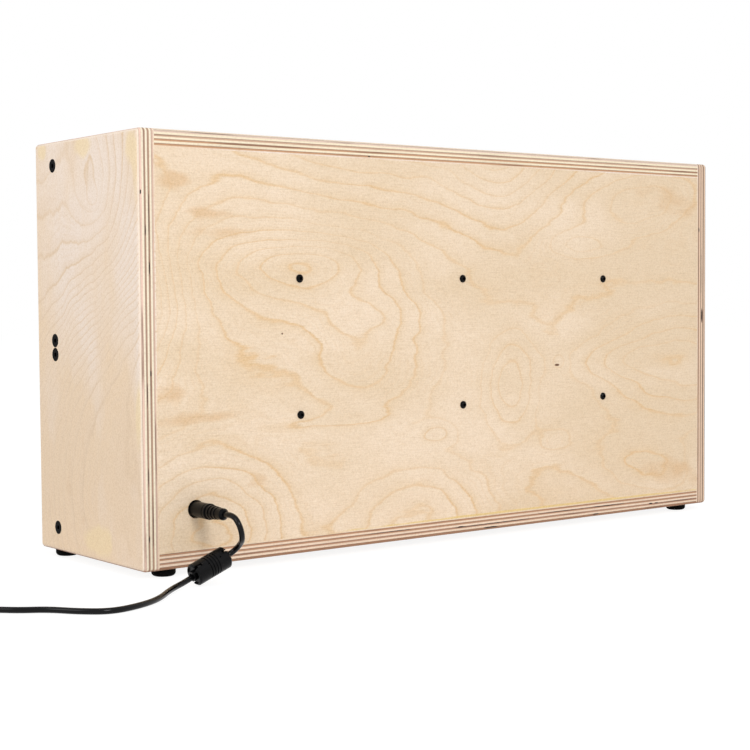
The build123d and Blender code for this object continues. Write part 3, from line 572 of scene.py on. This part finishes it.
RIGHT_FIGURE = {
    "tones": PINK_BIRCH,
    "warm": [(60.0, 0.0, 95.0, 150.0, 0.0, 0.23, 1), (250.0, 0.0, 80.0, 150.0, 0.0, -0.16, 1)],
    "fibres": 0.35,
    "speckle": 0.75,
    "grit": 0.55,
    "slope": (0.0, 0.0),
    "wobble": 0.7,
    "faint": [(60.0, -30.0, 70.0, 60.0, 0.0, 0.35, 1)],
    "rings": [
        (50.0, 125.0, 158.0, 215.0, 0.0, 17.0, 3),        # lines that climb from the front edge
        (215.0, 118.0, 80.0, 50.0, 0.0, 8.0, 1),          # and turn up again at the rear one
        (272.0, 13.0, 36.0, 30.0, 0.0, -3.2, 1),          # nested arches, open at the top
        (258.0, 13.0, 7.0, 8.0, 0.0, -1.3, 1),
        (325.0, -85.0, 90.0, 85.0, 0.0, -4.6, 1),
    ],
    "stains": [
        (TAN, [(60.0, -20.0, 70.0, 60.0, 0.0, 0.35, 1)]),
        (MINERAL, [
            (290.0, -1.0, 9.0, 13.0, 0.0, 1.2, 1),
            (290.0, -63.0, 8.0, 8.0, 0.0, 1.0, 1),
            (285.0, 66.0, 14.0, 10.0, 0.0, 0.8, 1),
            (260.0, 71.0, 24.0, 5.0, 0.0, 0.7, 1),
            (108.0, 71.0, 34.0, 5.0, 0.0, 0.9, 1),
            (19.0, 14.0, 11.0, 20.0, 0.0, 1.3, 1),
        ]),
    ],
    "knots": [],
}
LEFT_FIGURE = {
    "tones": PINK_BIRCH,
    "warm": [],
    "fibres": 0.6,
    "speckle": 0.6,
    "grit": 0.5,
    "slope": (0.0, 40.0),
    "wobble": 0.85,
    "faint": [],
    "rings": [
        (150.0, -8.0, 120.0, 26.0, 3.0, 7.0, 1),
        (60.0, 30.0, 50.0, 18.0, -4.0, 3.0, 1),
        (250.0, -50.0, 60.0, 20.0, 0.0, 2.4, 1),
    ],
    "stains": [(TAN, [(230.0, 20.0, 60.0, 40.0, 0.0, 0.4, 1)])],
    "knots": [],
}
TOP_FIGURE = {
    "tones": PINK_BIRCH,
    "warm": [],
    "fibres": 0.6,
    "speckle": 0.6,
    "grit": 0.5,
    "slope": (0.0, 30.0),
    "wobble": 0.85,
    "faint": [],
    "rings": [
        (110.0, 4.0, 190.0, 34.0, 2.0, 6.0, 1),
        (-190.0, -30.0, 130.0, 26.0, -3.0, 4.0, 1),
        (-60.0, 44.0, 90.0, 18.0, 0.0, 2.4, 1),
    ],
    "stains": [(TAN, [(-220.0, 40.0, 60.0, 20.0, 0.0, 0.5, 1)])],
    "knots": [],
}
BOTTOM_FIGURE = {
    "tones": WARM_BIRCH,
    "warm": [],
    "fibres": 0.6,
    "speckle": 0.6,
    "grit": 0.5,
    "slope": (0.0, 55.0),
    "wobble": 0.85,
    "faint": [],
    "rings": [(30.0, -20.0, 220.0, 40.0, -2.0, 6.0, 1), (-150.0, 40.0, 90.0, 20.0, 0.0, 2.4, 1)],
    "stains": [],
    "knots": [],
}

# Each board's edge. light is its pale plies and darks are the four dark ones, from the inner face
# outward; on the top board the outermost of them is painted pale, as painted light where the
# rounding turns up to the lamp. rim darkens their glue and rim_side is the side on which it shows.
# outer is the outer face's veneer where the edge's rounding cuts it; on the bottom board it is
# painted brown, as painted shade on the rounding that faces down, and on the left board it is a dark
# brown. voids are open places in the plies: along the board, into its thickness, length and height;
# their near-black colour is painted shade inside them.
BACK_EDGE = {
    "light": (252, 236, 212),
    "darks": [(196, 152, 124), (200, 156, 130), (196, 154, 130), (204, 164, 140)],
    "rim": 0.80,
    "rim_side": "outer",
    "outer": (244, 224, 200),
    "voids": [],
}
TOP_EDGE = {
    "light": (255, 241, 212),
    # The fourth dark ply is painted pale: painted light on the rounding, which turns up to the lamp.
    "darks": [(208, 160, 124), (208, 160, 126), (212, 174, 148), (234, 206, 188)],
    "rim": 0.70,
    "rim_side": "outer",
    "outer": (243, 222, 204),
    "voids": [(88.0, 1.7, 1.5, 0.5)],
}
BOTTOM_EDGE = {
    "light": (249, 226, 203),
    "darks": [(196, 148, 116), (192, 146, 116), (190, 146, 120), (184, 138, 108)],
    "rim": 0.70,
    "rim_side": "inner",
    # The outer veneer on the rounding is painted brown: painted shade on the underside.
    "outer": (222, 184, 150),
    "voids": [
        (-245.0, 7.0, 20.0, 0.3), (-214.0, 6.9, 2.6, 0.5), (-207.0, 6.9, 2.6, 0.55),
        (-154.0, 4.1, 22.0, 0.4), (-142.0, 9.9, 4.0, 0.6), (-104.0, 4.1, 25.0, 0.3),
        (-32.0, 7.1, 44.0, 0.3), (-28.0, 9.9, 9.0, 0.55), (3.0, 6.9, 3.0, 0.55),
        (70.0, 4.1, 22.0, 0.3),
    ],
}
RIGHT_EDGE = {
    "light": (255, 242, 217),
    "darks": [(226, 192, 172), (190, 154, 130), (184, 150, 128), (240, 206, 188)],
    "rim": 0.84,
    "rim_side": "outer",
    "outer": (248, 230, 214),
    "voids": [
        (254.0, 10.4, 1.8, 0.5), (239.0, 4.6, 17.0, 0.25), (229.0, 7.3, 4.0, 0.35), (205.0, 4.7, 5.0, 0.45),
        (136.0, 4.6, 2.2, 0.5), (121.0, 7.3, 9.0, 0.25), (68.0, 7.3, 6.0, 0.3), (37.0, 4.3, 18.0, 0.25),
        (27.0, 7.2, 2.5, 0.4),
    ],
}
LEFT_EDGE = {
    "light": (241, 214, 188),
    "darks": [(178, 138, 114), (194, 160, 138), (162, 130, 110), (168, 134, 116)],
    "rim": 0.84,
    "rim_side": "inner",
    "outer": (190, 160, 144),
    "voids": [
        (240.0, 2.1, 2.2, 0.6), (205.0, 5.0, 22.0, 0.3), (167.0, 6.0, 6.0, 0.9),
        (88.0, 10.2, 30.0, 0.5),
    ],
}

back_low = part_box("back_panel")[0]
right_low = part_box("right_side_panel")[0]
left_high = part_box("left_side_panel")[1]
top_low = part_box("top_panel")[0]

# Node, material, thickness axis, inner face on it, way outward, grain axis, looks and noise seed.
BOARDS = [
    ("back_panel", "birch_back", "y", back_low.y, 1, "x", BACK_FIGURE, BACK_EDGE, 1.3),
    ("right_side_panel", "birch_right", "x", right_low.x, 1, "z", RIGHT_FIGURE, RIGHT_EDGE, 2.7),
    ("left_side_panel", "birch_left", "x", left_high.x, -1, "z", LEFT_FIGURE, LEFT_EDGE, 5.1),
    ("top_panel", "birch_top", "z", top_low.z, 1, "x", TOP_FIGURE, TOP_EDGE, 3.9),
    ("bottom_panel", "birch_bottom", "z", bottom_high.z, -1, "x", BOTTOM_FIGURE, BOTTOM_EDGE, 4.4),
]
for node, name, axis, inner, outward, grain, figure, edge, seed in BOARDS:
    finish_nodes(plywood(name, axis, inner / MM, outward, grain, figure, edge, seed), node)


def dowel_wood():
    """Turned beech, with short dark rays along the dowel."""
    graph = Graph("beech_dowel", roughness=0.6)
    ray = graph.noise(graph.point, (180.0, 1400.0, 1400.0), 3.0)
    dark, middle, pale = linear((176, 128, 88)), linear((222, 184, 142)), linear((232, 200, 162))
    graph.colour(graph.ramp(ray, [(0.30, dark), (0.55, middle), (0.8, pale)]))
    graph.bump(ray, 0.2, 0.0002)
    return graph.material


finish_nodes(dowel_wood(), "corner_dowels", "back_dowels")


# ---------------------------------------------------------------------------
# Black rubber, plastic and painted steel
# ---------------------------------------------------------------------------

def moulded(name, dark, pale, roughness, grain, depth, specular=0.5):
    """Moulded plastic or rubber: a fine grain in the surface, and a slight change of shine."""
    graph = Graph(name, roughness=roughness[0])
    graph.shader.inputs["Specular IOR Level"].default_value = specular
    cloud = graph.noise(graph.point, (60.0, 60.0, 60.0), 3.0)
    graph.colour(graph.ramp(cloud, [(0.30, linear(dark)), (0.70, linear(pale))]))
    texture = graph.noise(graph.point, (grain, grain, grain), 2.0)
    graph.roughness(graph.math("MULTIPLY_ADD", cloud, roughness[1] - roughness[0], roughness[0]))
    graph.bump(texture, 0.35, depth)
    return graph.material


def metal(name, dark, pale, roughness, scratches, brushed=(900.0, 900.0, 900.0)):
    """Plain or plated metal, with fine brushing and a change of tone."""
    graph = Graph(name, roughness=roughness[0], metallic=1.0)
    cloud = graph.noise(graph.point, (120.0, 120.0, 120.0), 2.0)
    lines = graph.noise(graph.point, brushed, 3.0)
    graph.colour(graph.mix(cloud, linear(dark), linear(pale)))
    graph.roughness(graph.math("MULTIPLY_ADD", lines, roughness[1] - roughness[0], roughness[0]))
    graph.bump(lines, scratches, 0.00008)
    return graph.material


BLACK_RUBBER = moulded("black_rubber", (4, 4, 4), (10, 9, 9), (0.62, 0.80), 2600.0, 0.00006, 0.05)
PLUG_PLASTIC = moulded("plug_pvc", (5, 5, 6), (12, 12, 14), (0.26, 0.38), 3000.0, 0.00003, 0.13)
FERRITE_PLASTIC = moulded("ferrite_plastic", (5, 5, 6), (11, 11, 13), (0.26, 0.36), 2400.0, 0.00005, 0.16)
CASE_PLASTIC = moulded("adapter_plastic", (14, 14, 15), (24, 24, 25), (0.50, 0.66), 1500.0, 0.00010, 0.25)
JACKET = moulded("cable_jacket", (4, 4, 5), (9, 9, 11), (0.14, 0.21), 2200.0, 0.00002, 0.22)
HEADER_PLASTIC = moulded("header_plastic", (14, 14, 15), (25, 25, 26), (0.45, 0.60), 1800.0, 0.00004, 0.3)
CERAMIC = moulded("ferrite_ceramic", (44, 43, 44), (74, 72, 72), (0.40, 0.65), 3800.0, 0.00006)
CONVERTER = moulded("converter_epoxy", (24, 24, 27), (40, 40, 44), (0.45, 0.62), 1600.0, 0.00006)
TERMINAL = moulded("terminal_plastic", (38, 108, 62), (54, 132, 78), (0.40, 0.55), 1400.0, 0.00005)
INSULATOR = moulded("plug_insulator", (206, 178, 76), (222, 196, 96), (0.40, 0.52), 1500.0, 0.00004)
JACK_PLASTIC = moulded("jack_plastic", (14, 14, 15), (25, 25, 26), (0.40, 0.54), 1500.0, 0.00004, 0.3)

ZINC = metal("zinc_plated_steel", (150, 152, 156), (188, 190, 194), (0.28, 0.42), 0.12)
NICKEL = metal("nickel_plate", (176, 172, 162), (212, 208, 198), (0.16, 0.28), 0.06)
GOLD = metal("gold_plate", (206, 160, 74), (232, 192, 104), (0.20, 0.32), 0.05)
TIN = metal("tin_plate", (164, 164, 162), (200, 200, 198), (0.30, 0.44), 0.10)
BRASS = metal("nickelled_brass", (170, 164, 148), (206, 200, 184), (0.22, 0.34), 0.08)
ALONG_RAIL = (3.0, 2600.0, 2600.0)  # brushing that runs along X
ANODISED = metal(
    "anodised_aluminium", (184, 186, 190), (210, 212, 216), (0.34, 0.46), 0.16, ALONG_RAIL,
)
BLACK_PAINT = moulded("black_powder_coat", (22, 22, 23), (34, 34, 35), (0.50, 0.66), 1900.0, 0.00010)
BLACK_STEEL = moulded("blackened_steel", (2, 2, 3), (6, 6, 7), (0.34, 0.46), 2600.0, 0.00003, 0.03)
BUTTON_STEEL = moulded("polished_black_steel", (2, 2, 3), (6, 6, 7), (0.18, 0.26), 2600.0, 0.00002, 0.12)

cable.data.materials.append(JACKET)
finish_nodes(BLACK_RUBBER, "rubber_feet", "adapter_gland")
finish_nodes(PLUG_PLASTIC, "plug_body")
finish_nodes(FERRITE_PLASTIC, "ferrite_upper_shell", "ferrite_lower_shell")
finish_nodes(CERAMIC, "ferrite_core")
finish_nodes(CASE_PLASTIC, "adapter_lower_shell", "adapter_upper_shell")
finish_nodes(JACK_PLASTIC, "jack_body", "adapter_inlet")
finish_nodes(HEADER_PLASTIC, "bus_headers")
finish_nodes(CONVERTER, "power_converters")
finish_nodes(TERMINAL, "input_terminal")
finish_nodes(INSULATOR, "plug_insulator")
finish_nodes(BLACK_PAINT, "jack_plate")
finish_nodes(BLACK_STEEL, "right_rail_screws", "left_rail_screws")
finish_nodes(BUTTON_STEEL, "back_screws")
finish_nodes(ZINC, "foot_washers", "foot_screws", "board_screws", "jack_plate_screws")
finish_nodes(NICKEL, "plug_barrel", "jack_nut", "jack_pin", "inlet_pins")
finish_nodes(GOLD, "header_pins")
finish_nodes(TIN, "jack_tabs", "fuse_clips")
finish_nodes(BRASS, "board_standoffs")
finish_nodes(
    ANODISED,
    "upper_row_top_rail", "upper_row_bottom_rail", "lower_row_top_rail", "lower_row_bottom_rail",
)


def tie_fabric():
    """Hook-and-loop strap: a fine cross weave with a napped surface."""
    graph = Graph("tie_fabric", roughness=0.9)
    weave = graph.tree.nodes.new("ShaderNodeTexWave")
    weave.wave_type = "BANDS"
    weave.bands_direction = "Y"
    weave.inputs["Scale"].default_value = 260.0
    weave.inputs["Distortion"].default_value = 2.0
    graph.put(weave.inputs["Vector"], graph.point)
    nap = graph.noise(graph.point, (2600.0, 2600.0, 2600.0), 3.0)
    height = graph.math("MULTIPLY_ADD", weave.outputs["Fac"], 0.5, nap)
    graph.colour(graph.ramp(nap, [(0.3, linear((18, 18, 19))), (0.7, linear((46, 46, 48)))]))
    graph.bump(height, 0.6, 0.0003)
    return graph.material


def solder_mask():
    """The power board: a dark green mask over long wide tracks, whose gaps show darker."""
    graph = Graph("solder_mask", roughness=0.35)
    x, _, z = graph.split(graph.point)
    track = graph.tree.nodes.new("ShaderNodeTexBrick")
    track.inputs["Scale"].default_value = 60.0
    track.inputs["Brick Width"].default_value = 5.0
    track.inputs["Row Height"].default_value = 0.30
    track.inputs["Mortar Size"].default_value = 0.025
    track.inputs["Color1"].default_value = linear((19, 58, 42))
    track.inputs["Color2"].default_value = linear((22, 64, 47))
    track.inputs["Mortar"].default_value = linear((13, 40, 30))
    graph.put(track.inputs["Vector"], graph.join(x, z, 0.0))
    weave = graph.noise(graph.point, (1200.0, 1200.0, 1200.0), 2.0)
    sheen = graph.ramp(weave, [(0.3, 0.0), (0.7, 0.12)])
    graph.colour(graph.mix(0.25, track.outputs["Color"], sheen, "ADD"))
    graph.bump(weave, 0.1, 0.00005)
    return graph.material


def capacitor_sleeve(rim, stripe_start):
    """Shrink sleeve, striped where X is past stripe_start, and bare aluminium where Y is under rim."""
    graph = Graph("capacitor_sleeve", roughness=0.35)
    x, y, _ = graph.split(graph.point)
    stripe = graph.math("GREATER_THAN", x, stripe_start)
    top = graph.math("LESS_THAN", y, rim)
    cloud = graph.noise(graph.point, (700.0, 700.0, 700.0), 2.0)
    sleeve = graph.mix(cloud, linear((22, 26, 44)), linear((32, 38, 62)))
    sleeve = graph.mix(stripe, sleeve, linear((150, 156, 170)))
    graph.colour(graph.mix(top, sleeve, linear((196, 198, 202))))
    graph.put(graph.shader.inputs["Metallic"], top)
    graph.bump(cloud, 0.08, 0.00005)
    return graph.material


def fuse_glass(low, high):
    """A glass tube between two plated caps, with a faint haze in the glass."""
    graph = Graph("fuse_glass", roughness=0.12, ior=1.5)
    z = graph.split(graph.point)[2]
    cap = graph.math("MAXIMUM", graph.math("LESS_THAN", z, low), graph.math("GREATER_THAN", z, high))
    haze = graph.noise(graph.point, (900.0, 900.0, 900.0), 2.0)
    glass = graph.mix(haze, linear((206, 214, 212)), linear((226, 232, 230)))
    graph.colour(graph.mix(cap, glass, linear((190, 188, 182))))
    graph.put(graph.shader.inputs["Metallic"], cap)
    graph.bump(haze, 0.04, 0.00005)
    return graph.material


def led_lens(name, dark, pale):
    """A small coloured lens, its tone varying a little."""
    graph = Graph(name, roughness=0.18, ior=1.5)
    depth = graph.noise(graph.point, (700.0, 700.0, 700.0), 2.0)
    graph.colour(graph.mix(depth, linear(dark), linear(pale)))
    graph.bump(depth, 0.05, 0.00003)
    return graph.material


fuse_low, fuse_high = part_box("glass_fuse")
FUSE_CAP = 5.0 * MM
CAPACITOR_RIM = 0.35 * MM
CAPACITOR_STRIPE = 127.4 * MM
capacitor_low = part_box("filter_capacitors")[0]
finish_nodes(tie_fabric(), "coil_tie")
finish_nodes(solder_mask(), "power_board")
finish_nodes(
    capacitor_sleeve(capacitor_low.y + CAPACITOR_RIM, CAPACITOR_STRIPE), "filter_capacitors",
)
finish_nodes(fuse_glass(fuse_low.z + FUSE_CAP, fuse_high.z - FUSE_CAP), "glass_fuse")
finish_nodes(led_lens("status_led_lens", (148, 34, 26), (206, 70, 52)), "status_leds")
finish_nodes(led_lens("adapter_led_lens", (60, 132, 62), (112, 186, 104)), "adapter_led")


# ---------------------------------------------------------------------------
# Threaded strips, with their row of holes
# ---------------------------------------------------------------------------

PITCH = 5.08 * MM
THREAD_RADIUS = 1.25 * MM
HOLE_SIDES = 12                     # a multiple of four, as each corner of a cell takes a quarter


def drilled_strip(node):
    """A threaded strip's bar with a through hole at every pitch, built cell by cell."""
    low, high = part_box(node)
    middle_x, middle_z = (low.x + high.x) / 2, (low.z + high.z) / 2
    count = int((high.x - low.x) / PITCH + 0.01)
    centres = [middle_x + (index - (count - 1) / 2) * PITCH for index in range(count)]
    joints = [low.x] + [centre + PITCH / 2 for centre in centres[:-1]] + [high.x]
    quarter = HOLE_SIDES // 4
    bar = bmesh.new()
    sides = []
    for y in (low.y, high.y):
        lower = [bar.verts.new((x, y, low.z)) for x in joints]
        upper = [bar.verts.new((x, y, high.z)) for x in joints]
        circles = []
        for centre in centres:
            circle = []
            for side in range(HOLE_SIDES):
                turn = 2 * math.pi * (side + 0.5) / HOLE_SIDES
                x = centre + THREAD_RADIUS * math.cos(turn)
                z = middle_z + THREAD_RADIUS * math.sin(turn)
                circle.append(bar.verts.new((x, y, z)))
            circles.append(circle)
        sides.append((lower, upper, circles))
        for index, circle in enumerate(circles):
            corners = [upper[index + 1], upper[index], lower[index], lower[index + 1]]
            for part in range(4):
                first = 1 + part * quarter
                arc = [circle[(first + step) % HOLE_SIDES] for step in range(quarter, -1, -1)]
                bar.faces.new([corners[part], corners[(part + 1) % 4]] + arc)
    front, back = sides
    for near, far in (front[0], back[0]), (front[1], back[1]):
        for index in range(count):
            bar.faces.new([near[index], near[index + 1], far[index + 1], far[index]])
    for end in (0, -1):
        bar.faces.new([front[0][end], front[1][end], back[1][end], back[0][end]])
    for near, far in zip(front[2], back[2]):
        for side in range(HOLE_SIDES):
            after = (side + 1) % HOLE_SIDES
            bar.faces.new([near[side], near[after], far[after], far[side]])
    bmesh.ops.recalc_face_normals(bar, faces=bar.faces)
    mesh = bpy.data.meshes.new(node + "_drilled")
    bar.to_mesh(mesh)
    bar.free()
    mesh.materials.append(ZINC)
    strip = bpy.data.objects.new(node + "_drilled", mesh)
    bpy.context.scene.collection.objects.link(strip)
    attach(strip, "case")
    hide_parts(node)


for row in ("upper", "lower"):
    for place in ("top", "bottom"):
        drilled_strip(f"{row}_row_{place}_strip")


# ---------------------------------------------------------------------------
# Floor, light and background
# ---------------------------------------------------------------------------

bpy.context.scene.view_settings.view_transform = "Standard"

FLOOR_GLOW = 0.88                   # the share of the floor's white that no shadow takes away
FLOOR_SHADE = 0.22                  # the paper's own grey, which the shadow falls on
FLOOR_REACH = 6.0
FLOOR_DROP = 0.2 * MM               # under the feet, so that the surfaces don't coincide


def seen_ray(graph):
    """1 for rays from the camera, and for mirrored or refracted ones."""
    path = graph.tree.nodes.new("ShaderNodeLightPath")
    mirrored = graph.math("MAXIMUM", path.outputs["Is Glossy Ray"], path.outputs["Is Transmission Ray"])
    return graph.math("MAXIMUM", path.outputs["Is Camera Ray"], mirrored)


def add_floor():
    """A pale floor that shows white to the camera and keeps the object's shadow."""
    mesh = bpy.data.meshes.new("floor")
    near, far = -FLOOR_REACH, FLOOR_REACH
    corners = [(near, near, 0), (far, near, 0), (far, far, 0), (near, far, 0)]
    mesh.from_pydata(corners, [], [(0, 1, 2, 3)])
    floor = bpy.data.objects.new("floor", mesh)
    floor.location.z = -FLOOR_DROP
    bpy.context.scene.collection.objects.link(floor)
    graph = Graph("floor_white", roughness=0.9)
    graph.colour(graph.ramp(graph.noise(graph.point, (2.0, 2.0, 2.0), 2.0), [(0.0, 0.90), (1.0, 0.92)]))
    tree = graph.tree
    paper = tree.nodes.new("ShaderNodeBsdfDiffuse")
    paper.inputs["Color"].default_value = (FLOOR_SHADE, FLOOR_SHADE, FLOOR_SHADE, 1.0)
    glow = tree.nodes.new("ShaderNodeEmission")
    glow.inputs["Strength"].default_value = FLOOR_GLOW
    white = tree.nodes.new("ShaderNodeAddShader")
    tree.links.new(paper.outputs[0], white.inputs[0])
    tree.links.new(glow.outputs[0], white.inputs[1])
    choice = tree.nodes.new("ShaderNodeMixShader")
    graph.put(choice.inputs[0], seen_ray(graph))
    tree.links.new(graph.shader.outputs[0], choice.inputs[1])
    tree.links.new(white.outputs[0], choice.inputs[2])
    output = next(node for node in tree.nodes if node.type == "OUTPUT_MATERIAL")
    tree.links.new(choice.outputs[0], output.inputs["Surface"])
    mesh.materials.append(graph.material)


def add_area_light(name, place, target, size, power):
    """A square soft light that faces a point."""
    data = bpy.data.lights.new(name, "AREA")
    data.shape = "SQUARE"
    data.size = size
    data.energy = power
    light = bpy.data.objects.new(name, data)
    light.location = place
    direction = Vector(target) - Vector(place)
    light.rotation_euler = direction.to_track_quat("-Z", "Y").to_euler()
    bpy.context.scene.collection.objects.link(light)


def add_world(ambient):
    """Even pale light, with a white background for the camera and for reflections."""
    world = bpy.data.worlds.new("studio")
    bpy.context.scene.world = world
    world.use_nodes = True
    tree = world.node_tree
    background = tree.nodes["Background"]
    background.inputs["Color"].default_value = (1.0, 1.0, 1.0, 1.0)
    path = tree.nodes.new("ShaderNodeLightPath")
    previous = path.outputs["Is Camera Ray"]
    for ray in ("Is Glossy Ray", "Is Transmission Ray"):
        either = tree.nodes.new("ShaderNodeMath")
        either.operation = "MAXIMUM"
        tree.links.new(previous, either.inputs[0])
        tree.links.new(path.outputs[ray], either.inputs[1])
        previous = either.outputs[0]
    strength = tree.nodes.new("ShaderNodeMapRange")
    strength.inputs["To Min"].default_value = ambient
    strength.inputs["To Max"].default_value = 1.0
    tree.links.new(previous, strength.inputs["Value"])
    tree.links.new(strength.outputs["Result"], background.inputs["Strength"])


add_floor()
add_world(ambient=0.55)
add_area_light("key", place=(0.7, 2.5, 1.7), target=(0.0, 0.0, 0.15), size=0.8, power=29.7)
add_area_light("side", place=(2.3, 0.2, 1.4), target=(0.0, 0.0, 0.2), size=1.2, power=14.2)
